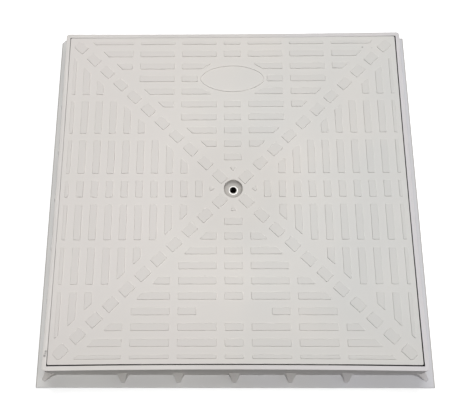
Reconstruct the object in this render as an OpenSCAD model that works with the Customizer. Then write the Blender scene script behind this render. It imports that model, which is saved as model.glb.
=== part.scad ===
// Square inspection cover of moulded plastic: a loose ribbed cover lying in a flanged frame.
// Millimetres, +Z up, origin on the ground at the middle of the frame.
// The front of the frame faces -Y, and the oval on the cover is towards +Y.

/* [Frame] */
// Outside width of the base flange, which is the nominal size
flange_w = 400; // [360:1:440]
// Thickness of the base flange
flange_t = 3; // [2:0.5:5]
// Size of the corner missing from the flange at the back left
chip = 3.5; // [1:0.5:8]
// Height of the frame
frame_h = 36; // [33:1:60]
// Reach of the flange beyond the upright wall
flange_reach = 12.5; // [10.5:0.5:15]
// Thickness of the upright wall, which is the width of the rim
wall_t = 4.5; // [3:0.1:5]
// Depth of the cover's seat below the rim
seat_depth = 14; // [10:1:18]
// Width of the ledge that carries the cover
ledge_w = 13; // [9:1:18]
// Thickness of the ledge
ledge_t = 3.5; // [2.5:0.5:5]
// Drop of the lip along the inner edge of the ledge
lip_drop = 5; // [1:0.5:8]
// Thickness of that lip
lip_t = 2.5; // [2:0.5:4]

/* [Gussets] */
// Gussets along each side, without the ones at the corners
gusset_count = 5; // [1:2:5]
// Spacing of the gussets
gusset_pitch = 56; // [30:1:64]
// Reach of a gusset over the flange
gusset_run = 8.5; // [4:0.5:9]
// Rise of a gusset up the wall
gusset_rise = 16; // [6:1:28]
// Width of a gusset at the wall
gusset_root = 13; // [8:0.5:14]
// Width of a gusset a third of the way out
gusset_waist = 8; // [5:0.5:8]
// Width of a gusset at its toe
gusset_toe = 3; // [1.5:0.5:5]
// Reach of the gusset at each corner, along the diagonal
corner_run = 8.5; // [6:0.5:14]
// Thickness of the brackets under the ledge
bracket_t = 3; // [2:0.5:6]
// How much lower a bracket ends at the wall than at the lip
bracket_drop = 8; // [3:0.5:10]

/* [Cover] */
// Gap between the cover and the rim on each side, when the cover lies in the middle
cover_gap = 0.45; // [0.45:0.05:2]
// How far the loose cover has slid to the left and to the back
slid_left = 0.25; // [0:0.05:0.35]
slid_back = 0.35; // [0:0.05:0.35]
// Thickness of the cover's top plate
plate_t = 4; // [3:0.5:6]
// Thickness of the skirt that stands on the ledge
skirt_t = 3; // [2:0.5:4]
// Chamfer along the top edge of the cover
edge_chamfer = 0.5; // [0.2:0.1:1]
// Depth of the whole cover under its top face
cover_depth = 25; // [20:1:32]
// Gap between the inner skirt and the ledge
locating_gap = 2; // [1:0.5:4]
// Thickness of the ribs and of the inner skirt
rib_t = 2.5; // [1.5:0.5:4]
// Widest spacing allowed for the ribs
rib_pitch = 34; // [24:1:38]

/* [Lifting hole] */
// Diameter of the through hole
hole_d = 7.2; // [5:0.2:9]
// Diameter of the dish round the hole
dish_d = 19.6; // [16:0.2:22]
// Depth of the dish
dish_depth = 4.8; // [3:0.2:8]
// Depth of the straight rim at the top of the dish
dish_rim = 1.2; // [0.4:0.2:2]
// Width of the flat floor round the hole
dish_floor = 1.3; // [0.4:0.1:2]
// Thickness of that floor
floor_t = 2.4; // [1.6:0.2:4]
// Diameter of the hollow under it, which is open below
hollow_d = 14; // [11:0.5:16]
// Wall left round the dish and the hole under the plate
boss_wall = 2.4; // [1.6:0.2:4]

/* [Tread] */
// Height of the raised tread
tread_h = 1; // [0.9:0.1:3]
// Width of a bar
bar_w = 7.7; // [5:0.1:10]
// Length of the short bar in the middle of a row
mid_bar = 18.8; // [10:0.2:24]
// Length of the other bars
long_bar = 38.8; // [25:0.2:50]
// Gap between bars in a row
bar_gap = 7.8; // [4:0.2:12]
// Distance from the hole to the first row
first_row = 36; // [34:0.5:44]
// Distance between rows
row_pitch = 15.68; // [13:0.02:20]
// Plain border at the cover's edge
border = 5.2; // [3:0.1:10]
// Plain lane from a diagonal to the ends of the bars
lane = 13.95; // [10:0.05:18]
// Shortest bar end that is kept
shortest = 5; // [2:0.2:8]
// Rounding of the corners seen from above
corner_r = 1.4; // [0.6:0.2:2]
// Length of the pads along each diagonal
pad_l = 14.4; // [8:0.2:18]
// Width of those pads
pad_w = 10.7; // [6:0.1:14]
// First pad's distance from the middle, along X and along Y
pad_first = 13.7; // [12.5:0.1:16]
// Distance between pads, along X and along Y
pad_pitch = 15.62; // [13:0.02:20]
// Distance from the middle to the small pointed pads
tip_at = 18.8; // [16:0.2:22]
// Length and width of the small pointed pads
tip_l = 6; // [3:0.5:8]
tip_w = 7.6; // [4:0.2:10]

/* [Marking fields] */
// Row that holds the oval at the back and the bare strip at the front
mark_row = 6; // [4:1:7]
// Length of the oval
oval_l = 70; // [50:1:80]
// Width of the oval
oval_w = 32; // [20:0.2:34]
// How pointed its ends are, where 0 is a true ellipse
pointed = 0.15; // [0:0.05:0.4]
// Width of the oval's raised line
line_w = 1.4; // [0.8:0.1:2.4]
// Height of the oval's raised line
line_h = 0.8; // [0.4:0.1:0.9]
// Clear space at the ends of the oval, and along its sides
end_clear = 3; // [2:0.5:8]
side_clear = 5; // [2:0.5:5]
// Length of the bare strip
strip_l = 75; // [50:1:90]

/* [Hidden] */
sunk = 1;
oval_points = 48;
round_steps = 2;
bowl_steps = 4;
blunt = 0.43;

flange_r = flange_w / 2;
wall_r = flange_r - flange_reach;
seat_r = wall_r - wall_t;
ledge_r = seat_r - ledge_w;
seat_z = frame_h - seat_depth;
ledge_z = seat_z - ledge_t;

cover_r = seat_r - cover_gap;
inner_r = ledge_r - locating_gap;
plate_z = frame_h - plate_t;
rib_z = frame_h - cover_depth;
bays = ceil((inner_r - rib_t / 2) / rib_pitch);
rib_step = (inner_r - rib_t / 2) / bays;
boss_r = dish_d / 2 + boss_wall;
floor_r = hole_d / 2 + dish_floor;

edge = cover_r - border;
setback = lane * sqrt(2);
rows = floor((edge + bar_w / 2 - 2 * corner_r - first_row) / row_pitch) + 1;
long_start = mid_bar / 2 + bar_gap;
long_step = long_bar + bar_gap;
long_count = floor((edge - setback - shortest - long_start) / long_step) + 1;
pads = floor((edge - pad_first) / pad_pitch) + 1;
mark_y = first_row + mark_row * row_pitch;

// Convex outline cut back to where a point times the normal is at most the limit
function clip(pts, normal, limit) = [
    for (i = [0 : len(pts) - 1])
        let (p = pts[i])
        let (q = pts[(i + 1) % len(pts)])
        let (dp = normal * p - limit)
        let (dq = normal * q - limit)
        each concat(dp <= 0 ? [p] : [], dp * dq < 0 ? [p + (q - p) * dp / (dp - dq)] : [])
];

// The same outline with each corner rounded to about that radius
function rounded(pts, r) = [
    for (i = [0 : len(pts) - 1])
        let (p = pts[i])
        let (a = pts[(i + len(pts) - 1) % len(pts)] - p)
        let (b = pts[(i + 1) % len(pts)] - p)
        let (half = acos(a * b / norm(a) / norm(b)) / 2)
        let (cut = min(r / tan(half), 0.45 * norm(a), 0.45 * norm(b)))
        for (t = [0 : 1 / round_steps : 1])
            p + cut * (pow(1 - t, 2) * a / norm(a) + pow(t, 2) * b / norm(b))
];

function box_outline(x0, x1, y0, y1) = [[x0, y0], [x1, y0], [x1, y1], [x0, y1]];

function oval_outline(grow) = [
    for (i = [0 : oval_points - 1])
        let (angle = 360 * i / oval_points)
        let (side = sin(angle) * pow(abs(sin(angle)), pointed))
        [(oval_l / 2 + grow) * cos(angle), mark_y + (oval_w / 2 + grow) * side]
];

// Plain field round the oval, with its corners cut off
function field_outline(x, y) = [
    for (p = [[x, -y * blunt], [x, y * blunt], [x / 2, y], [-x / 2, y],
              [-x, y * blunt], [-x, -y * blunt], [-x / 2, -y], [x / 2, -y]])
        p + [0, mark_y]
];

// One section carried round all four sides and mitred at the corners.
// The section's X is the distance from the middle, and its Y is the height.
module mitred(section, reach, height) {
    for (turn = [0 : 90 : 270])
        rotate(turn)
            intersection() {
                rotate([90, 0, 0])
                    linear_extrude(2 * reach, center = true)
                        polygon(section);
                linear_extrude(height)
                    polygon([[0, 0], [reach, -reach], [reach, reach]]);
            }
}

// Triangular gusset on a wall at X = 0 and a flange at Z = 0, flared towards the wall.
// Its slope and its flanks run on into both, by the length that it is sunk.
module gusset(run) {
    back = gusset_rise * (run + sunk) / run;
    foot = run * (gusset_rise + sunk) / gusset_rise;
    root_y = gusset_root / 2;
    waist_y = gusset_waist / 2;
    toe_y = gusset_toe / 2;
    intersection() {
        rotate([90, 0, 0])
            linear_extrude(2 * gusset_root, center = true)
                polygon([[-sunk, -sunk], [foot, -sunk], [-sunk, back]]);
        translate([0, 0, -sunk])
            linear_extrude(back + sunk)
                polygon([[-sunk, -root_y], [run / 3, -waist_y], [foot, -toe_y],
                         [foot, toe_y], [run / 3, waist_y], [-sunk, root_y]]);
    }
}

module side_gussets() {
    half = (gusset_count - 1) / 2;
    for (turn = [0 : 90 : 270], i = [-half : half])
        rotate(turn)
            translate([wall_r, i * gusset_pitch, flange_t])
                gusset(gusset_run);
}

module corner_gussets() {
    for (turn = [45 : 90 : 315])
        rotate(turn)
            translate([wall_r * sqrt(2) - gusset_root / 2, 0, flange_t])
                gusset(corner_run + gusset_root / 2);
}

// Plain brackets that carry the ledge from inside, behind the gussets
module ledge_brackets() {
    half = (gusset_count - 1) / 2;
    reach = ledge_w - lip_t;
    slope = bracket_drop / reach;
    for (turn = [0 : 90 : 270], i = [-half : half])
        rotate(turn)
            translate([seat_r, i * gusset_pitch, ledge_z])
                rotate([90, 0, 0])
                    linear_extrude(bracket_t, center = true)
                        polygon([[sunk, sunk], [sunk, -lip_drop / 2 - bracket_drop - slope * sunk],
                                 [-reach - sunk, -lip_drop / 2 + slope * sunk], [-reach - sunk, sunk]]);
}

module frame() {
    section = [
        [flange_r, 0],
        [flange_r, flange_t],
        [wall_r, flange_t],
        [wall_r, frame_h],
        [seat_r, frame_h],
        [seat_r, seat_z],
        [ledge_r, seat_z],
        [ledge_r, ledge_z - lip_drop],
        [ledge_r + lip_t, ledge_z - lip_drop],
        [ledge_r + lip_t, ledge_z],
        [seat_r, ledge_z],
        [seat_r, 0]
    ];
    color("gainsboro")
        difference() {
            union() {
                mitred(section, flange_r, frame_h);
                side_gussets();
                corner_gussets();
                ledge_brackets();
            }
            translate([-flange_r, flange_r, 0])
                rotate(45)
                    cube([chip * sqrt(2), chip * sqrt(2), 4 * flange_t], center = true);
        }
}

// One bar of a row, which runs along X at a distance along Y, cut back from both diagonals
module bar(row, x0, x1) {
    y = first_row + row * row_pitch;
    full = box_outline(x0, x1, y - bar_w / 2, min(y + bar_w / 2, edge));
    right = clip(full, [1, -1], -setback);
    cut = len(right) > 2 ? clip(right, [-1, -1], -setback) : right;
    if (len(cut) > 2 && max([for (p = cut) p.x]) - min([for (p = cut) p.x]) > shortest)
        polygon(rounded(cut, corner_r));
}

// The rows of bars between two diagonals, on the +Y side
module quarter() {
    for (row = [0 : rows - 1]) {
        bar(row, -mid_bar / 2, mid_bar / 2);
        for (i = [0 : long_count - 1]) {
            start = long_start + i * long_step;
            stop = i == long_count - 1 ? edge : start + long_bar;
            bar(row, start, stop);
            bar(row, -stop, -start);
        }
    }
}

// The pads along one diagonal, and the pointed pad beside it
module arm() {
    along = [pad_l, pad_l] / 2 / sqrt(2);
    across = [pad_w, -pad_w] / 2 / sqrt(2);
    for (i = [0 : pads - 1]) {
        middle = [1, 1] * (pad_first + i * pad_pitch);
        full = [middle - along + across, middle + along + across,
                middle + along - across, middle - along - across];
        polygon(rounded(clip(clip(full, [1, 0], edge), [0, 1], edge), corner_r));
    }
    polygon(rounded([[0, tip_at], [tip_w / 2, tip_at + tip_l], [-tip_w / 2, tip_at + tip_l]], corner_r));
}

module tread() {
    for (turn = [0 : 90 : 270])
        rotate(turn)
            arm();
    difference() {
        for (turn = [0 : 90 : 270])
            rotate(turn)
                quarter();
        polygon(field_outline(oval_l / 2 + end_clear, oval_w / 2 + side_clear));
        translate([-strip_l / 2, -mark_y - row_pitch / 2])
            square([strip_l, row_pitch]);
    }
}

// Rib across the whole cover, deep inside the frame's opening and shallow over the ledge
module rib() {
    over_ledge = seat_z + locating_gap;
    far = cover_r - skirt_t / 2;
    near = inner_r - rib_t / 2;
    rotate([90, 0, 0])
        linear_extrude(rib_t, center = true)
            polygon([[-far, plate_z + sunk], [-far, over_ledge], [-near, over_ledge], [-near, rib_z],
                     [near, rib_z], [near, over_ledge], [far, over_ledge], [far, plate_z + sunk]]);
}

module cover_ribs() {
    for (turn = [0, 90], i = [1 - bays : bays - 1])
        rotate(turn)
            translate([0, i * rib_step, 0])
                rib();
}

module cover() {
    shell = [
        [cover_r - skirt_t, seat_z],
        [cover_r, seat_z],
        [cover_r, frame_h - edge_chamfer],
        [cover_r - edge_chamfer, frame_h],
        [cover_r - 2 * skirt_t, frame_h],
        [cover_r - 2 * skirt_t, plate_z],
        [cover_r - skirt_t, plate_z]
    ];
    inner_skirt = box_outline(inner_r - rib_t, inner_r, rib_z, frame_h - plate_t / 2);
    plate_w = 2 * cover_r - 3 * skirt_t;
    dish_z = frame_h - dish_depth;
    bowl_r = dish_d / 2 - floor_r;
    bowl_h = dish_depth - dish_rim;
    bowl = [
        for (angle = [0 : 90 / bowl_steps : 90])
            [floor_r + bowl_r * sin(angle), dish_z + bowl_h * (1 - cos(angle))]
    ];
    bore = concat(
        [[0, rib_z - 1], [hollow_d / 2, rib_z - 1], [hollow_d / 2, dish_z - floor_t]],
        [[hole_d / 2, dish_z - floor_t], [hole_d / 2, dish_z]],
        bowl,
        [[dish_d / 2, frame_h + tread_h + 1], [0, frame_h + tread_h + 1]]
    );
    color("whitesmoke")
        translate([-slid_left, slid_back, 0])
            difference() {
                union() {
                    mitred(shell, cover_r, frame_h);
                    mitred(inner_skirt, inner_r, frame_h);
                    translate([0, 0, frame_h - plate_t / 2])
                        cube([plate_w, plate_w, plate_t], center = true);
                    translate([0, 0, plate_z + plate_t / 2])
                        linear_extrude(plate_t / 2 + tread_h)
                            tread();
                    translate([0, 0, plate_z + plate_t / 2])
                        linear_extrude(plate_t / 2 + line_h)
                            difference() {
                                polygon(oval_outline(line_w / 2));
                                polygon(oval_outline(-line_w / 2));
                            }
                    cover_ribs();
                    translate([0, 0, rib_z])
                        cylinder(h = cover_depth - plate_t / 2, r = boss_r, $fn = 72);
                }
                rotate_extrude($fn = 72)
                    polygon(bore);
            }
}

frame();
cover();
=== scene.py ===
import math

import bmesh
import bpy
from mathutils import Matrix, Vector


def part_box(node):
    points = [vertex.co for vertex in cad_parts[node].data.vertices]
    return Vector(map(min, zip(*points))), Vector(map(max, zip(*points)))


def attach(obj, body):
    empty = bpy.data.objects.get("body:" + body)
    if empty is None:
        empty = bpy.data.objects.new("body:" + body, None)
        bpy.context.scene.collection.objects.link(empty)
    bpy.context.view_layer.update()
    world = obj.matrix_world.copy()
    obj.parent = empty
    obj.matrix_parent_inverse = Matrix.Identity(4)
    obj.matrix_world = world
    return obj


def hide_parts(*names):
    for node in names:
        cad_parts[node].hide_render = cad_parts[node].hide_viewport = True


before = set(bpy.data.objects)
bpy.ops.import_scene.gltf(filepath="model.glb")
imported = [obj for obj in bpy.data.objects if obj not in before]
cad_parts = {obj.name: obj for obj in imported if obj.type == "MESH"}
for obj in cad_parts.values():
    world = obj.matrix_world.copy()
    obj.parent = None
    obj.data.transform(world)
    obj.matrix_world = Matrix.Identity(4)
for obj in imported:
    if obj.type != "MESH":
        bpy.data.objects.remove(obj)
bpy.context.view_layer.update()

# The frame is one moulding of grey polypropylene: a flange, an upright wall that ends in the narrow
# rim, and a ledge inside it that carries the cover. Gussets brace the wall on the flange, and plain
# brackets carry the ledge. Lengths are in millimetres and become metres when a mesh is finished.
MM = 0.001
flange_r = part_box("frame")[1].x / MM
rim_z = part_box("frame")[1].z / MM
flange_t = 3
wall_r = 187.5
wall_t = 4.5
seat_r = wall_r - wall_t
seat_depth = 14
seat_z = rim_z - seat_depth
ledge_w = 13
ledge_r = seat_r - ledge_w
ledge_t = 3.5
ledge_z = seat_z - ledge_t
lip_t = 2.5
lip_h = 5
lip_z = ledge_z - lip_h
chip = 3.5
gusset_pitch = 56
gusset_places = [i * gusset_pitch for i in (-2, -1, 0, 1, 2)]
gusset_rise = 12
gusset_run = 7.8
gusset_root, gusset_waist, gusset_toe = 13, 8, 3
waist_at = 1 / 3
buried_toe = gusset_run / 8
corner_run = gusset_run + gusset_root / 2
bracket_t = 3
bracket_drop = 8
corner_round = 3
corner_steps = 4
edge_round = 0.3
edge_steps = 2

# One form reaches this far into or past another before they are joined or cut
overlap = 1

# The long sides bow inwards by this much at mid length, and by more in front. The bow grows from
# nothing to all of it between these heights, and the sides are cut up at this pitch to follow it.
wall_bow = 0.8
front_bow = 0.6
bow_from, bow_to = 8, 24
bow_pitch = 24
bow_cuts = [i * bow_pitch for i in range(-7, 8)]

# Tolerances: a point on a plane, two places that are the same, points that merge, and the angles of
# faces that count as one flat face and of edges that count as sharp
on_plane = 0.001
near = 0.01
frame_weld = 0.005
flat_angle = math.radians(0.5)
sharp_angle = math.radians(30)

# A slanting line, along which hardly any two parts of a mesh lie equally far
slant = Vector((1, 0.618, 0.382))


def prism(bm, outline, rise):
    """A closed prism on this outline, which rises by that vector"""
    foot = bm.faces.new([bm.verts.new(corner) for corner in outline])
    made = bmesh.ops.extrude_face_region(bm, geom=[foot], use_keep_orig=True)["geom"]
    bmesh.ops.translate(bm, vec=rise, verts=[item for item in made if isinstance(item, bmesh.types.BMVert)])
    bmesh.ops.recalc_face_normals(bm, faces=bm.faces)


def cut_off(bm, at, normal):
    """Takes away all that lies beyond a plane, and closes the cut"""
    cut = bmesh.ops.bisect_plane(bm, geom=bm.verts[:] + bm.edges[:] + bm.faces[:], dist=on_plane,
                                 plane_co=at, plane_no=normal, clear_outer=True)
    bmesh.ops.holes_fill(bm, edges=[g for g in cut["geom_cut"] if isinstance(g, bmesh.types.BMEdge)])


def slice_both_ways(bm, place):
    """Cuts the faces in two at X = place and at Y = place, and keeps both halves"""
    for normal in (Vector((1, 0, 0)), Vector((0, 1, 0))):
        bmesh.ops.bisect_plane(bm, geom=bm.verts[:] + bm.edges[:] + bm.faces[:], dist=on_plane,
                               plane_co=normal * place, plane_no=normal)


def put(bm, part, place):
    """Adds the part to the bmesh at that place"""
    bmesh.ops.transform(part, matrix=place, verts=part.verts)
    mesh = bpy.data.meshes.new("part")
    part.to_mesh(mesh)
    part.free()
    bm.from_mesh(mesh)
    bpy.data.meshes.remove(mesh)


def gusset(run):
    """Flared gusset on a wall at X = 0 and a flange at Z = 0, sunk a little into both"""
    bm = bmesh.new()
    waist = run * waist_at
    toe = run + buried_toe
    plan = [(-overlap, -gusset_root / 2), (waist, -gusset_waist / 2), (toe, -gusset_toe / 2),
            (toe, gusset_toe / 2), (waist, gusset_waist / 2), (-overlap, gusset_root / 2)]
    prism(bm, [(x, y, -overlap) for x, y in plan], Vector((0, 0, 2 * gusset_rise)))
    cut_off(bm, Vector((run, 0, 0)), Vector((gusset_rise, 0, run)))
    return bm


def bracket():
    """Plain bracket under the ledge, behind each gusset"""
    bm = bmesh.new()
    reach = ledge_w - lip_t
    slope = bracket_drop / reach
    low = -lip_h / 2
    side = [(overlap, overlap), (overlap, low - bracket_drop - slope * overlap),
            (-reach - overlap, low + slope * overlap), (-reach - overlap, overlap)]
    prism(bm, [(x, -bracket_t / 2, z) for x, z in side], Vector((0, bracket_t, 0)))
    return bm


def put_in_order(bm):
    """Puts the parts of the mesh in order along a slanting line, so that each run gives the same result"""
    bm.verts.sort(key=lambda v: v.co.dot(slant))
    bm.edges.sort(key=lambda e: (e.verts[0].co + e.verts[1].co).dot(slant))
    bm.faces.sort(key=lambda f: f.calc_center_median().dot(slant))


def combined(body, tool, operation):
    """The body, as a new bmesh, after the tool was joined to it or cut from it"""
    blanks = []
    for part in (body, tool):
        mesh = bpy.data.meshes.new("blank")
        part.to_mesh(mesh)
        part.free()
        blanks.append(bpy.data.objects.new("blank", mesh))
        bpy.context.scene.collection.objects.link(blanks[-1])
    modifier = blanks[0].modifiers.new("combined", "BOOLEAN")
    modifier.operation = operation
    modifier.solver = "EXACT"
    modifier.object = blanks[1]
    result = bmesh.new()
    result.from_object(blanks[0], bpy.context.evaluated_depsgraph_get())
    for blank in blanks:
        bpy.data.objects.remove(blank)
    put_in_order(result)
    return result


def round_edges(bm, edges, radius, segments):
    """Small rounding, which shades smoothly between the flat faces beside it"""
    made = bmesh.ops.bevel(bm, geom=edges, affect="EDGES", offset=radius, segments=segments,
                           profile=0.5, material=-1, clamp_overlap=True)
    for face in made["faces"]:
        face.smooth = True


def upright(edge, reach):
    """True for an upright edge at a corner of the square with that half width"""
    a, b = (v.co for v in edge.verts)
    off_corner = abs(abs(a.x) - reach) + abs(abs(a.y) - reach)
    return abs(a.x - b.x) + abs(a.y - b.y) < near and off_corner < 2 * near


def bow_sides(bm, bow, more_in_front):
    """Bows the long sides inwards, as a moulding of this size shrinks, most of all in front"""
    for place in bow_cuts:
        slice_both_ways(bm, place)
    for v in bm.verts:
        x, y, z = v.co
        rise = min(max((z - bow_from) / (bow_to - bow_from), 0), 1)
        y_bow = bow if y > 0 else bow + more_in_front
        v.co.x -= bow * rise * (x / seat_r) ** 3 * max(1 - (y / seat_r) ** 2, 0)
        v.co.y -= y_bow * rise * (y / seat_r) ** 3 * max(1 - (x / seat_r) ** 2, 0)


def finish_piece(bm, name, node, material):
    """The finished moulding as an object that stands for its CAD node"""
    bmesh.ops.scale(bm, vec=Vector((MM, MM, MM)), verts=bm.verts)
    bmesh.ops.recalc_face_normals(bm, faces=bm.faces)
    mesh = bpy.data.meshes.new(name)
    bm.to_mesh(mesh)
    bm.free()
    piece = bpy.data.objects.new(name, mesh)
    bpy.context.scene.collection.objects.link(piece)
    mesh.materials.append(material)
    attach(piece, "root")
    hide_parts(node)
    return piece


section = [
    (flange_r, 0), (flange_r, flange_t), (wall_r, flange_t), (wall_r, rim_z), (seat_r, rim_z),
    (seat_r, seat_z), (ledge_r, seat_z), (ledge_r, lip_z), (ledge_r + lip_t, lip_z),
    (ledge_r + lip_t, ledge_z), (seat_r, ledge_z), (seat_r, 0),
]
bm = bmesh.new()
corner = [bm.verts.new((reach, reach, z)) for reach, z in section]
loop = [bm.edges.new(pair) for pair in zip(corner, corner[1:] + corner[:1])]
bmesh.ops.spin(bm, geom=corner + loop, cent=(0, 0, 0), axis=(0, 0, 1), angle=2 * math.pi, steps=4,
               use_merge=True)
bmesh.ops.recalc_face_normals(bm, faces=bm.faces)
round_edges(bm, [e for e in bm.edges if upright(e, wall_r)], corner_round, corner_steps)
round_edges(bm, [e for e in bm.edges if upright(e, seat_r)], edge_round, edge_steps)

# The corner that is missing from the flange at the back left
cut_off(bm, Vector((chip - flange_r, flange_r, 0)), Vector((-1, 1, 0)))

wedges = bmesh.new()
for turn in range(4):
    side = Matrix.Rotation(turn * math.pi / 2, 4, "Z")
    for place in gusset_places:
        put(wedges, gusset(gusset_run), side @ Matrix.Translation((wall_r, place, flange_t)))
        put(wedges, bracket(), side @ Matrix.Translation((seat_r, place, ledge_z)))
    diagonal = Matrix.Rotation((turn + 0.5) * math.pi / 2, 4, "Z")
    start = wall_r * math.sqrt(2) - gusset_root / 2
    put(wedges, gusset(corner_run), diagonal @ Matrix.Translation((start, 0, flange_t)))
bm = combined(bm, wedges, "UNION")
bmesh.ops.remove_doubles(bm, verts=bm.verts, dist=frame_weld)
bmesh.ops.dissolve_limit(bm, angle_limit=flat_angle, verts=bm.verts, edges=bm.edges)
put_in_order(bm)
round_edges(bm, [e for e in bm.edges if e.is_manifold and e.calc_face_angle() > sharp_angle],
            edge_round, edge_steps)
bow_sides(bm, wall_bow, front_bow)

# Polypropylene, injection moulded against a spark-eroded steel tool: a matt, finely grained skin of
# pale grey, a little warmer in some places than in others. The real grain is too fine for the
# picture to show, so it is drawn coarser.
grain_size = 0.9
grain_depth = 0.1
drift_size = 90
drift_share = 0.45
across_share = 0.85
tint_places = 0.3, 0.5, 0.7
frame_tints = "#d6d2ce", "#ccc8c5", "#cecbcd"

# Painted shade in front: the colour is multiplied there by a share of each piece's own, and by 1 farther
# back
front_at, back_at = -185, -100
frame_front_shade = 0.99

# What the colour is multiplied by at each height: cool on the flange, and painted shade that darkens the
# wall near its top
height_tints_and_shade = [
    (flange_t + 0.3, "#f3f6f8"), (flange_t + 0.8, "#ffffff"), (flange_t + 5, "#fcfcfb"),
    (rim_z - 1, "#d6d5d3"), (rim_z - 0.4, "#ffffff"), (rim_z + 0.5, "#ffffff"), (rim_z + 0.8, "#fbfbfb"),
]
tints_up_to = rim_z + 1

# A faint stain round the hole: the share of its reach, and what the colour is multiplied by there
stain_reach = 200
stain_shares = [(0.21, 0.949), (0.3, 0.973), (0.41, 1), (0.55, 0.99), (0.75, 0.973)]

# Painted shade fills the joint round the cover, darkest in front and on the right. From there, at 1, to the
# corner at the back left, at 0, the shares say how much of it there is. The same dark colour marks the
# specks and scuffs.
shade_and_mark_colour = "#1a1715"
joint_w = 2
joint_deep, joint_shallow = 0.08, 0.005
joint_shares = [(0, 0.9), (0.05, 0.4), (0.13, 0.1), (0.94, 0.1), (1, 1)]

# Painted shade in the hole, within this distance of its axis and from this far below the rim
hole_shade_r = 7.4
hole_shade_depth = 5

# Specks and scuffs: place, size and how dark. A share of the size is as dark all over.
marks = [(145.2, 168.6, 1.3, 0.45), (155.6, 167.8, 1.1, 0.15), (-184.3, -168.8, 1.7, 0.55),
         (-184.7, -170.8, 1.6, 0.4), (-185.3, -173, 1.7, 0.6), (-29.3, -93.6, 1.2, 0.1)]
mark_core = 1 / 3

# Painted shade on the dish's wall, less of it in front, and painted shade along the flange's edge at the
# back and sides
dish_and_edge_shade_colour = "#a09d99"
dish_shade_r, dish_shade_w = 7.35, 2.4
dish_shade_depth, dish_shade_h = 2.6, 2.3
dish_shade_front, dish_shade_back = 3, 9
dish_shade_in_front = 0.3
edge_shade_w = 1.1
edge_shade_share = 0.8

# A painted highlight: a pale ring on the dish's floor, round the hole
highlight_ring_colour = "#f8f6f2"
dish_depth = 4.8
ring_r, ring_w = 4.3, 0.6
ring_h = 0.2


def linear(colour):
    """An sRGB hex colour as the linear red, green, blue and alpha of a socket"""
    shares = [int(colour[i:i + 2], 16) / 255 for i in (1, 3, 5)]
    return [s / 12.92 if s <= 0.04045 else ((s + 0.055) / 1.055) ** 2.4 for s in shares] + [1]


def add(tree, kind, inputs, stops=(), **settings):
    """A node with its settings and a ramp's stops; each input is a value, a node or a node's output"""
    made = tree.nodes.new(kind)
    for name, value in settings.items():
        setattr(made, name, value)
    for _ in stops[2:]:
        made.color_ramp.elements.new(0.5)
    for i, (position, colour) in enumerate(stops):
        made.color_ramp.elements[i].position = position
        made.color_ramp.elements[i].color = colour
    for name, value in inputs.items():
        if isinstance(value, bpy.types.Node):
            value = next(output for output in value.outputs if output.enabled)
        if isinstance(value, bpy.types.NodeSocket):
            tree.links.new(value, made.inputs[name])
        else:
            made.inputs[name].default_value = value
    return made


def colour_and_painted_shade(tree, place, radius, tints, front):
    """The plastic's colour, which drifts from left to right and changes with height, with painted shade near
    the wall's top and towards the front
    """
    x, y, z = add(tree, "ShaderNodeSeparateXYZ", {"Vector": place}).outputs
    drift = add(tree, "ShaderNodeTexNoise", {"Vector": place, "Scale": 1 / (drift_size * MM), "Detail": 2})
    across = add(tree, "ShaderNodeMapRange", {
        "Value": x, "From Min": -flange_r * MM, "From Max": flange_r * MM,
        "To Min": 1 - across_share, "To Max": across_share})
    mixed = add(tree, "ShaderNodeMix", {0: drift_share, 2: across, 3: drift}, data_type="FLOAT")
    colour = add(tree, "ShaderNodeValToRGB", {"Fac": mixed}, stops=[
        (at, linear(tint)) for at, tint in zip(tint_places, tints)])
    height = add(tree, "ShaderNodeMath", {0: z, 1: tints_up_to * MM}, operation="DIVIDE")
    # The tint by height, with painted shade near the top of the wall
    tint_and_shade_by_height = add(tree, "ShaderNodeValToRGB", {"Fac": height}, stops=[
        (at / tints_up_to, linear(tint)) for at, tint in height_tints_and_shade])
    # Painted shade, darker towards the front
    shade_in_front = add(tree, "ShaderNodeMapRange", {
        "Value": y, "From Min": front_at * MM, "From Max": back_at * MM, "To Min": front, "To Max": 1})
    outward = add(tree, "ShaderNodeMath", {0: radius, 1: stain_reach * MM}, operation="DIVIDE")
    stain = add(tree, "ShaderNodeValToRGB", {"Fac": outward}, stops=[
        (at, (share, share, share, 1)) for at, share in stain_shares])
    for shade in (tint_and_shade_by_height, shade_in_front, stain):
        colour = add(tree, "ShaderNodeMix", {"Factor": 1, 6: colour, 7: shade}, data_type="RGBA",
                     blend_type="MULTIPLY")
    return colour


def painted_dish_and_edge_shade(tree, place, radius):
    """How much painted shade there is, from 0 to 1, in the dish and along the flange's edge"""
    x, y, z = add(tree, "ShaderNodeSeparateXYZ", {"Vector": place}).outputs
    around = add(tree, "ShaderNodeMath", {0: radius, 1: dish_shade_r * MM, 2: dish_shade_w * MM}, operation="COMPARE")
    below = add(tree, "ShaderNodeMath", {0: z, 1: (rim_z - dish_shade_depth) * MM, 2: dish_shade_h * MM},
                operation="COMPARE")
    on_wall = add(tree, "ShaderNodeMath", {0: around, 1: below}, operation="MULTIPLY")
    to_back = add(tree, "ShaderNodeMapRange", {
        "Value": y, "From Min": dish_shade_front * MM, "From Max": dish_shade_back * MM,
        "To Min": dish_shade_in_front, "To Max": 1})
    in_dish = add(tree, "ShaderNodeMath", {0: on_wall, 1: to_back}, operation="MULTIPLY")
    aside = add(tree, "ShaderNodeMath", {0: x}, operation="ABSOLUTE")
    outward = add(tree, "ShaderNodeMath", {0: aside, 1: y}, operation="MAXIMUM")
    at_edge = add(tree, "ShaderNodeMath", {0: outward, 1: flange_r * MM, 2: edge_shade_w * MM},
                  operation="COMPARE")
    on_edge = add(tree, "ShaderNodeMath", {0: at_edge, 1: edge_shade_share}, operation="MULTIPLY")
    return add(tree, "ShaderNodeMath", {0: in_dish, 1: on_edge}, operation="MAXIMUM")


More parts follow.
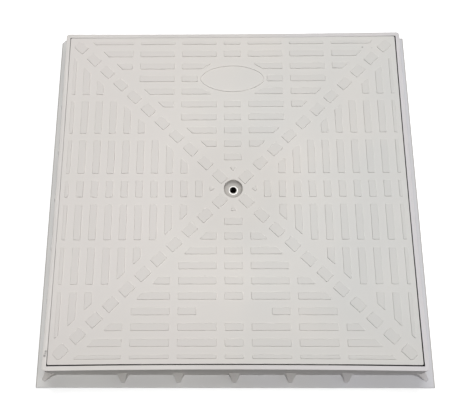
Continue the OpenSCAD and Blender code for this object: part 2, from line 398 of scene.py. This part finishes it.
def painted_highlight_ring(tree, place, radius):
    """1 on the painted highlight ring, and 0 elsewhere"""
    z = add(tree, "ShaderNodeSeparateXYZ", {"Vector": place}).outputs["Z"]
    around = add(tree, "ShaderNodeMath", {0: radius, 1: ring_r * MM, 2: ring_w * MM}, operation="COMPARE")
    on_floor = add(tree, "ShaderNodeMath", {0: z, 1: (rim_z - dish_depth) * MM, 2: ring_h * MM},
                   operation="COMPARE")
    return add(tree, "ShaderNodeMath", {0: around, 1: on_floor}, operation="MULTIPLY")


def painted_shade_and_marks(tree, place, radius):
    """How dark it is, from 0 to 1: painted shade in the joint and the hole, and each speck or scuff"""
    x, y, z = add(tree, "ShaderNodeSeparateXYZ", {"Vector": place}).outputs
    along_x = add(tree, "ShaderNodeMath", {0: x}, operation="ABSOLUTE")
    along_y = add(tree, "ShaderNodeMath", {0: y}, operation="ABSOLUTE")
    reach = add(tree, "ShaderNodeMath", {0: along_x, 1: along_y}, operation="MAXIMUM")
    # Painted shade in the joint round the cover
    at_joint = add(tree, "ShaderNodeMath", {0: reach, 1: seat_r * MM, 2: joint_w * MM}, operation="COMPARE")
    sunken = add(tree, "ShaderNodeMapRange", {
        "Value": z, "From Min": (rim_z - joint_deep) * MM, "From Max": (rim_z - joint_shallow) * MM,
        "To Min": 1, "To Max": 0})
    to_front = add(tree, "ShaderNodeMath", {0: x, 1: y}, operation="SUBTRACT")
    along = add(tree, "ShaderNodeMapRange", {"Value": to_front, "From Min": -2 * seat_r * MM, "From Max": 0})
    amount = add(tree, "ShaderNodeValToRGB", {"Fac": along}, stops=[
        (at, (share, share, share, 1)) for at, share in joint_shares])
    shade_in_joint = add(tree, "ShaderNodeMath", {0: at_joint, 1: sunken}, operation="MULTIPLY")
    shade_in_joint = add(tree, "ShaderNodeMath", {0: shade_in_joint, 1: amount}, operation="MULTIPLY")
    # Painted shade in the hole
    at_hole = add(tree, "ShaderNodeMath", {0: radius, 1: hole_shade_r * MM}, operation="LESS_THAN")
    below = add(tree, "ShaderNodeMath", {0: z, 1: (rim_z - hole_shade_depth) * MM}, operation="LESS_THAN")
    in_hole = add(tree, "ShaderNodeMath", {0: at_hole, 1: below}, operation="MULTIPLY")
    dark = add(tree, "ShaderNodeMath", {0: shade_in_joint, 1: in_hole}, operation="MAXIMUM")
    for mark_x, mark_y, size, depth in marks:
        away = add(tree, "ShaderNodeVectorMath", {0: place, 1: (mark_x * MM, mark_y * MM, rim_z * MM)},
                   operation="DISTANCE")
        mark = add(tree, "ShaderNodeMapRange", {
            "Value": away, "From Min": mark_core * size * MM, "From Max": size * MM,
            "To Min": depth, "To Max": 0})
        dark = add(tree, "ShaderNodeMath", {0: dark, 1: mark}, operation="MAXIMUM")
    return dark


def moulded_polypropylene(name, tints, front):
    """The plastic in these tints from left to right, with painted shade, a painted highlight ring, and its
    specks and scuffs
    """
    material = bpy.data.materials.new(name)
    material.use_nodes = True
    tree = material.node_tree
    tree.nodes.clear()
    place = add(tree, "ShaderNodeTexCoord", {}).outputs["Object"]
    apart = add(tree, "ShaderNodeSeparateXYZ", {"Vector": place}).outputs
    flat_place = add(tree, "ShaderNodeCombineXYZ", {"X": apart["X"], "Y": apart["Y"]})
    radius = add(tree, "ShaderNodeVectorMath", {0: flat_place}, operation="LENGTH")
    colour = colour_and_painted_shade(tree, place, radius, tints, front)
    # Painted shade in the dish and at the flange's edge, a painted highlight ring, and painted shade in the
    # joint and hole with the specks and scuffs
    layers = [(painted_dish_and_edge_shade, dish_and_edge_shade_colour), (painted_highlight_ring, highlight_ring_colour), (painted_shade_and_marks, shade_and_mark_colour)]
    for amount, layer_colour in layers:
        colour = add(tree, "ShaderNodeMix", {"Factor": amount(tree, place, radius), 6: colour,
                                             7: linear(layer_colour)}, data_type="RGBA")
    grain = add(tree, "ShaderNodeTexNoise", {"Vector": place, "Scale": 1 / (grain_size * MM), "Detail": 3})
    bump = add(tree, "ShaderNodeBump", {"Height": grain, "Strength": 0.3, "Distance": grain_depth * MM})
    shader = add(tree, "ShaderNodeBsdfPrincipled", {"Base Color": colour, "Roughness": 0.6, "IOR": 1.49,
                                                    "Normal": bump})
    add(tree, "ShaderNodeOutputMaterial", {"Surface": shader})
    return material


finish_piece(bm, "moulded_frame", "frame",
             moulded_polypropylene("moulded_polypropylene_grey", frame_tints, frame_front_shade))

# The cover is one moulding too: a flat plate, an outer skirt that stands on the ledge, an inner
# skirt that drops into the opening, and a grid of ribs under it. It lies loose in the frame.
cover_low, cover_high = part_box("cover")
corner_play = 0.2
front_play = 0.15
cover_r = (cover_high.x - cover_low.x) / 2 / MM - corner_play
slid = (cover_low + cover_high) / 2 / MM
rib_z = cover_low.z / MM
plate_t = 4
plate_z = rim_z - plate_t
skirt_t = 3
inner_play = 2
inner_r = ledge_r - inner_play
rib_t = 2.5
bays = 5
rib_step = (inner_r - rib_t / 2) / bays
rib_clear = 2
over_ledge = seat_z + rib_clear
lid_corner = 1.5
lid_round = 0.3
round_steps = 3
round_sides = 64
hole_r = 3.6
dish_r = 9.8
dish_z = rim_z - dish_depth
dish_rim = 1.2
dish_lead = 0.35
bowl_steps = 8
boss_wall = 2.4
boss_r = dish_r + boss_wall
boss_top = rim_z - plate_t / 2
floor_w = 1.3
floor_r = hole_r + floor_w
floor_t = 2.4
hollow_r = 7
cover_weld = 0.002
cover_tints = "#d6d1cd", "#d5d1cc", "#cdccc9"
# Painted shade: the cover's colour is multiplied by this share at its front edge
cover_front_shade = 0.935


def on_rib(place):
    """True where a rib crosses that distance from the middle"""
    return any(abs(place - i * rib_step) < rib_t / 2 for i in range(1 - bays, bays))


def centre(face):
    """The middle of the face"""
    return face.calc_center_median()


def reach_of(face):
    """How far the face's middle lies from the middle of the cover, along X or Y"""
    return max(abs(centre(face).x), abs(centre(face).y))


def lowered(bm, faces, z):
    """Extrudes the faces down to that height and returns them there"""
    made = bmesh.ops.extrude_face_region(bm, geom=faces)["geom"]
    bmesh.ops.delete(bm, geom=[f for f in faces if f.is_valid], context="FACES")
    for item in made:
        if isinstance(item, bmesh.types.BMVert):
            item.co.z = z
    return [item for item in made if isinstance(item, bmesh.types.BMFace)]


def raised(bm, edges, z):
    """Extrudes a loop of edges up to that height and returns the new loop and its corners"""
    made = bmesh.ops.extrude_edge_only(bm, edges=edges)["geom"]
    ring = [item for item in made if isinstance(item, bmesh.types.BMVert)]
    for v in ring:
        v.co.z = z
    return [item for item in made if isinstance(item, bmesh.types.BMEdge) and item.is_boundary], ring


# Underside: a square cut along both flanks of every rib and skirt, and extruded down between them
bm = bmesh.new()
bmesh.ops.create_grid(bm, x_segments=1, y_segments=1, size=cover_r,
                      matrix=Matrix.Translation((0, 0, plate_z)))
lines = [i * rib_step + flank for i in range(1 - bays, bays) for flank in (-rib_t / 2, rib_t / 2)]
for skirt_line in (cover_r - skirt_t, inner_r, inner_r - rib_t):
    lines += [skirt_line, -skirt_line]
for line in lines:
    slice_both_ways(bm, line)
walls = [f for f in bm.faces if on_rib(centre(f).x) or on_rib(centre(f).y)
         or reach_of(f) > cover_r - skirt_t or inner_r - rib_t < reach_of(f) < inner_r]
walls = lowered(bm, walls, over_ledge)
outer_skirt = [f for f in walls if reach_of(f) > cover_r - skirt_t]
inner_walls = [f for f in walls if reach_of(f) < inner_r]
lowered(bm, outer_skirt, seat_z)
lowered(bm, inner_walls, rib_z)
bmesh.ops.recalc_face_normals(bm, faces=bm.faces)

# The outside goes up to the top edge, with rounded corners, and turns over it in a quarter round
raised(bm, [e for e in bm.edges if e.is_boundary], rim_z - lid_round)
round_edges(bm, [e for e in bm.edges if upright(e, cover_r)], lid_corner, corner_steps)
rising = [e for e in bm.edges if e.is_boundary]
before = 0
for i in range(1, round_steps + 1):
    angle = i * math.pi / 2 / round_steps
    inward = lid_round * (1 - math.cos(angle))
    rising, ring = raised(bm, rising, rim_z - lid_round * (1 - math.sin(angle)))
    share = (cover_r - inward) / (cover_r - before)
    bmesh.ops.scale(bm, vec=(share, share, 1), verts=ring)
    before = inward
bmesh.ops.edgeloop_fill(bm, edges=rising)
bmesh.ops.recalc_face_normals(bm, faces=bm.faces)

# The boss under the plate, and the dish and the through hole that are cut into both
boss = bmesh.new()
bmesh.ops.create_cone(boss, cap_ends=True, segments=round_sides, radius1=boss_r, radius2=boss_r,
                      depth=boss_top - rib_z, matrix=Matrix.Translation((0, 0, (boss_top + rib_z) / 2)))
bm = combined(bm, boss, "UNION")
profile = [(0, rib_z - overlap), (hollow_r, rib_z - overlap), (hollow_r, dish_z - floor_t),
           (hole_r, dish_z - floor_t), (hole_r, dish_z)]
for i in range(bowl_steps + 1):
    angle = i * math.pi / 2 / bowl_steps
    profile.append((floor_r + (dish_r - floor_r) * math.sin(angle),
                    dish_z + (rim_z - dish_rim - dish_z) * (1 - math.cos(angle))))
profile += [(dish_r, rim_z - dish_lead), (dish_r + dish_lead, rim_z), (dish_r + dish_lead, rim_z + overlap),
            (0, rim_z + overlap)]
cutter = bmesh.new()
chain = [cutter.verts.new((r, 0, z)) for r, z in profile]
edges = [cutter.edges.new(pair) for pair in zip(chain, chain[1:])]
bmesh.ops.spin(cutter, geom=chain + edges, cent=(0, 0, 0), axis=(0, 0, 1), angle=2 * math.pi,
               steps=round_sides, use_merge=True)
bmesh.ops.remove_doubles(cutter, verts=cutter.verts, dist=on_plane)
bmesh.ops.recalc_face_normals(cutter, faces=cutter.faces)
bm = combined(bm, cutter, "DIFFERENCE")
bmesh.ops.remove_doubles(bm, verts=bm.verts, dist=cover_weld)

# The flat top goes, and is filled in again round the tread
bmesh.ops.delete(bm, geom=[f for f in bm.faces if f.normal.z > 1 - near and centre(f).z > rim_z - near],
                 context="FACES")

# The raised tread, moulded with the plate: rows of bars between the diagonals, pads along them, and
# a pointed pad on each side of the hole. The oval and the strip opposite are plain fields.
border = 5.2
tread_r = cover_r + corner_play - border
tread_h = 0.9
foot_round = 0.25
foot_steps = 2
crest_round = 0.45
crest_steps = 3
draft = math.tan(math.radians(15))
bar_w = 7.7
mid_bar = 18.8
long_bar = 38.8
long_bars = 3
bar_gap = 7.8
long_start = mid_bar / 2 + bar_gap
long_step = long_bar + bar_gap
first_row = 36
row_pitch = 15.68
lane_r = 13.95
setback = lane_r * math.sqrt(2)
shortest = 5
corner_r = 1.4
pad_l, pad_w = 14.4, 10.7
pad_first, pad_pitch = 13.7, 15.62
tip_at, tip_l, tip_w = 18.8, 6, 7.6

# The plain fields, which are centred on this row
field_row = 6
field_y = first_row + field_row * row_pitch
oval_l, oval_w = 70, 32
oval_sides = 96
pointed = 0.15
line_w, line_h = 1.3, 0.8
line_crest = 0.2
end_clear, side_clear = 3, 5
shoulder = 0.43
strip_l = 75


def clip(points, normal, limit):
    """A convex outline cut back to where a point times the normal is at most the limit"""
    kept = []
    for p, q in zip(points, points[1:] + points[:1]):
        over_p, over_q = p.dot(normal) - limit, q.dot(normal) - limit
        if over_p <= 0:
            kept.append(p)
        if over_p * over_q < 0:
            kept.append(p.lerp(q, over_p / (over_p - over_q)))
    return kept


def tidy(points, shortest_side=0.05, straight=0.9999):
    """The same outline without double points and without points on a straight edge"""
    points = [p for p, q in zip(points, points[1:] + points[:1]) if (p - q).length > shortest_side]
    neighbours = zip(points[-1:] + points[:-1], points, points[1:] + points[:1])
    return [q for p, q, r in neighbours if (q - p).normalized().dot((r - q).normalized()) < straight]


def rounded(points, radius, steps=4, most=0.45):
    """The same outline with each corner rounded, to about that radius or that share of a side"""
    result = []
    for before, p, after in zip(points[-1:] + points[:-1], points, points[1:] + points[:1]):
        a, b = before - p, after - p
        cut = min(radius / math.tan(a.angle(b) / 2), most * a.length, most * b.length)
        for i in range(steps + 1):
            t = i / steps
            result.append(p + cut * ((1 - t) ** 2 * a.normalized() + t ** 2 * b.normalized()))
    return result


def oval_reach(y):
    """Half the bare width round the oval, which has its corners cut off, at that distance from the hole"""
    length, width = oval_l / 2 + end_clear, oval_w / 2 + side_clear
    past = max(abs(y - field_y) / width - shoulder, 0) / (1 - shoulder)
    return length * (1 - past / 2) if past < 1 else 0


def strip_reach(y):
    """Half the bare width of the strip opposite the oval"""
    return strip_l / 2 if abs(y - field_y) < row_pitch / 2 else 0


def bar_outline(row, start, stop, bare):
    """One bar, cut back from both diagonals and from the bare field, or None"""
    y = first_row + row * row_pitch
    low, high = y - bar_w / 2, min(y + bar_w / 2, tread_r)
    outline = [Vector(p) for p in ((start, low), (stop, low), (stop, high), (start, high))]
    outline = tidy(clip(clip(outline, Vector((1, -1)), -setback), Vector((-1, -1)), -setback))
    if bare and start < 0 < stop:
        outline = outline if bare(y) == 0 else []
    elif bare:
        side = 1 if start > 0 else -1
        end = Vector((side * bare(low), low)), Vector((side * bare(high), high))
        away = Vector((end[0].y - end[1].y, end[1].x - end[0].x)).normalized() * side
        outline = tidy(clip(outline, away, away.dot(end[0])))
    if len(outline) < 3 or max(p.x for p in outline) - min(p.x for p in outline) < shortest:
        return None
    return rounded(outline, corner_r)


def raise_faces(bm, faces, height, crest):
    """Raises flat faces with a small fillet at the foot, drafted flanks and a rounded crest"""
    flank = height - foot_round - crest
    steps = []
    for i in range(1, foot_steps + 1):
        angle = i * math.pi / 2 / foot_steps
        steps.append((foot_round * math.sin(angle), foot_round * (1 - math.cos(angle))))
    crest_reach, crest_rise = foot_round + flank * draft, foot_round + flank
    steps.append((crest_reach, crest_rise))
    for i in range(1, crest_steps + 1):
        angle = i * math.pi / 2 / crest_steps
        steps.append((crest_reach + crest * (1 - math.cos(angle)), crest_rise + crest * math.sin(angle)))
    inward, up = 0, 0
    for reach, rise in steps:
        made = bmesh.ops.inset_region(bm, faces=faces, thickness=reach - inward, depth=rise - up,
                                      use_even_offset=True, use_boundary=True)
        for face in made["faces"]:
            face.smooth = True
        inward, up = reach, rise


rows = int((tread_r + bar_w / 2 - 2 * corner_r - first_row) / row_pitch) + 1
pads = int((tread_r - pad_first) / pad_pitch) + 1
outlines = []
for turn, bare in enumerate((oval_reach, None, strip_reach, None)):
    quarter = Matrix.Rotation(turn * math.pi / 2, 2)
    found = []
    for row in range(rows):
        found.append(bar_outline(row, -mid_bar / 2, mid_bar / 2, bare))
        for i in range(long_bars):
            start = long_start + i * long_step
            stop = tread_r if i == long_bars - 1 else start + long_bar
            found.append(bar_outline(row, start, stop, bare))
            found.append(bar_outline(row, -stop, -start, bare))
    along, across = Vector((1, 1)) * pad_l / math.sqrt(8), Vector((1, -1)) * pad_w / math.sqrt(8)
    for i in range(pads):
        middle = Vector((1, 1)) * (pad_first + i * pad_pitch)
        pad = [middle + s * along + t * across for s, t in ((-1, 1), (1, 1), (1, -1), (-1, -1))]
        found.append(rounded(clip(clip(pad, Vector((1, 0)), tread_r), Vector((0, 1)), tread_r), corner_r))
    tip = [(0, tip_at), (tip_w / 2, tip_at + tip_l), (-tip_w / 2, tip_at + tip_l)]
    found.append(rounded([Vector(p) for p in tip], corner_r))
    outlines += [[quarter @ p for p in outline] for outline in found if outline]
bars = [bm.faces.new([bm.verts.new((p.x, p.y, rim_z)) for p in outline]) for outline in outlines]
raise_faces(bm, bars, tread_h, crest_round)

oval_rings = []
for grow in (line_w / 2, -line_w / 2):
    angles = [2 * math.pi * i / oval_sides for i in range(oval_sides)]
    oval_rings.append([bm.verts.new(((oval_l / 2 + grow) * math.cos(a), field_y + (oval_w / 2 + grow)
                                     * math.sin(a) * abs(math.sin(a)) ** pointed, rim_z)) for a in angles])
outer, inner = oval_rings
line = [bm.faces.new((outer[i - 1], outer[i], inner[i], inner[i - 1])) for i in range(oval_sides)]
raise_faces(bm, line, line_h, line_crest)

bmesh.ops.triangle_fill(bm, use_beauty=True, edges=[e for e in bm.edges if e.is_boundary],
                        normal=(0, 0, 1))
bow_sides(bm, wall_bow - corner_play, front_bow + front_play)
bmesh.ops.translate(bm, vec=(slid.x, slid.y, 0), verts=bm.verts)
finish_piece(bm, "moulded_cover", "cover",
             moulded_polypropylene("moulded_polypropylene_warm_grey", cover_tints, cover_front_shade))

# The floor is a sheet of white backdrop paper, and no part of the object. The camera sees it white, with the
# object's own soft shadow on it. Below the object it is painted dark, as painted shade that shows through
# the hole. Its size is in metres, and so are the sizes and places of the lamps.
floor_size = 8
paper_white = "#ffffff"
paper_shade = "#a0a0a0"
painted_dark_below = "#1c1917"
dark_to, pale_from = 120, 180
glow_near, glow_far = 400, 1400
least_glow = 0.2
bpy.ops.mesh.primitive_plane_add(size=floor_size)
floor = bpy.context.object
floor.name = "floor"
paper = bpy.data.materials.new("white_backdrop_paper")
paper.use_nodes = True
tree = paper.node_tree
tree.nodes.clear()
rays = add(tree, "ShaderNodeLightPath", {}).outputs
seen = add(tree, "ShaderNodeMath", {0: rays["Is Camera Ray"], 1: rays["Is Glossy Ray"]}, operation="MAXIMUM")
shade = add(tree, "ShaderNodeMix", {"Factor": seen, 6: linear(paper_shade), 7: linear(paper_white)},
            data_type="RGBA")
place = add(tree, "ShaderNodeTexCoord", {}).outputs["Object"]
away = add(tree, "ShaderNodeVectorMath", {0: place}, operation="LENGTH")
outside = add(tree, "ShaderNodeMapRange", {
    "Value": away, "From Min": dark_to * MM, "From Max": pale_from * MM})
# Painted shade: the floor is dark under the object
ground = add(tree, "ShaderNodeMix", {"Factor": outside, 6: linear(painted_dark_below), 7: shade}, data_type="RGBA")
diffuse = add(tree, "ShaderNodeBsdfDiffuse", {"Color": ground})
lift = add(tree, "ShaderNodeMath", {0: outside, 1: rays["Is Camera Ray"]}, operation="MULTIPLY")
farther = add(tree, "ShaderNodeMapRange", {
    "Value": away, "From Min": glow_near * MM, "From Max": glow_far * MM, "To Min": least_glow, "To Max": 1})
glow = add(tree, "ShaderNodeMath", {0: lift, 1: farther}, operation="MULTIPLY")
shine = add(tree, "ShaderNodeEmission", {"Strength": glow})
both = add(tree, "ShaderNodeAddShader", {0: diffuse, 1: shine})
add(tree, "ShaderNodeOutputMaterial", {"Surface": both})
floor.data.materials.append(paper)

# Soft studio light: a white surround that only the camera and reflections see, and three large round
# softboxes, above, behind and to the right, all aimed at the object
world = bpy.data.worlds.new("studio")
bpy.context.scene.world = world
world.use_nodes = True
tree = world.node_tree
tree.nodes.clear()
rays = add(tree, "ShaderNodeLightPath", {}).outputs
seen = add(tree, "ShaderNodeMath", {0: rays["Is Camera Ray"], 1: rays["Is Glossy Ray"]}, operation="MAXIMUM")
surround = add(tree, "ShaderNodeBackground", {"Color": linear(paper_white), "Strength": seen})
add(tree, "ShaderNodeOutputWorld", {"Surface": surround})

softbox_size = 1.4
softboxes = [("softbox_above", (0, -0.77, 2.9), 50), ("softbox_behind", (0, 1.34, 2.68), 37),
             ("softbox_right", (1.95, 0, 2.28), 13)]
for name, place, energy in softboxes:
    lamp = bpy.data.lights.new(name, "AREA")
    lamp.shape = "DISK"
    lamp.size = softbox_size
    lamp.energy = energy
    holder = bpy.data.objects.new(name, lamp)
    holder.location = place
    holder.rotation_euler = (-Vector(place)).to_track_quat("-Z", "Y").to_euler()
    bpy.context.scene.collection.objects.link(holder)

# The camera stands in front of the object and looks steeply down, as in the photograph. Its focal
# length and the place of its axis are in pixels of the photograph, and its tilt is in degrees.
photo_w = 470
photo_f = 735.9
axis_left = 22.5
sensor_w = 36
eye_place = (-9.3, -270.5, 758)
eye_tilt = (18.94, 0.95, 0.14)
camera = bpy.data.cameras.new("camera")
camera.sensor_width = sensor_w
camera.lens = sensor_w * photo_f / photo_w
camera.shift_x = axis_left / photo_w
eye = bpy.data.objects.new("camera", camera)
eye.location = Vector(eye_place) * MM
eye.rotation_euler = [math.radians(angle) for angle in eye_tilt]
bpy.context.scene.collection.objects.link(eye)
bpy.context.scene.camera = eye
bpy.context.scene.view_settings.view_transform = "Standard"
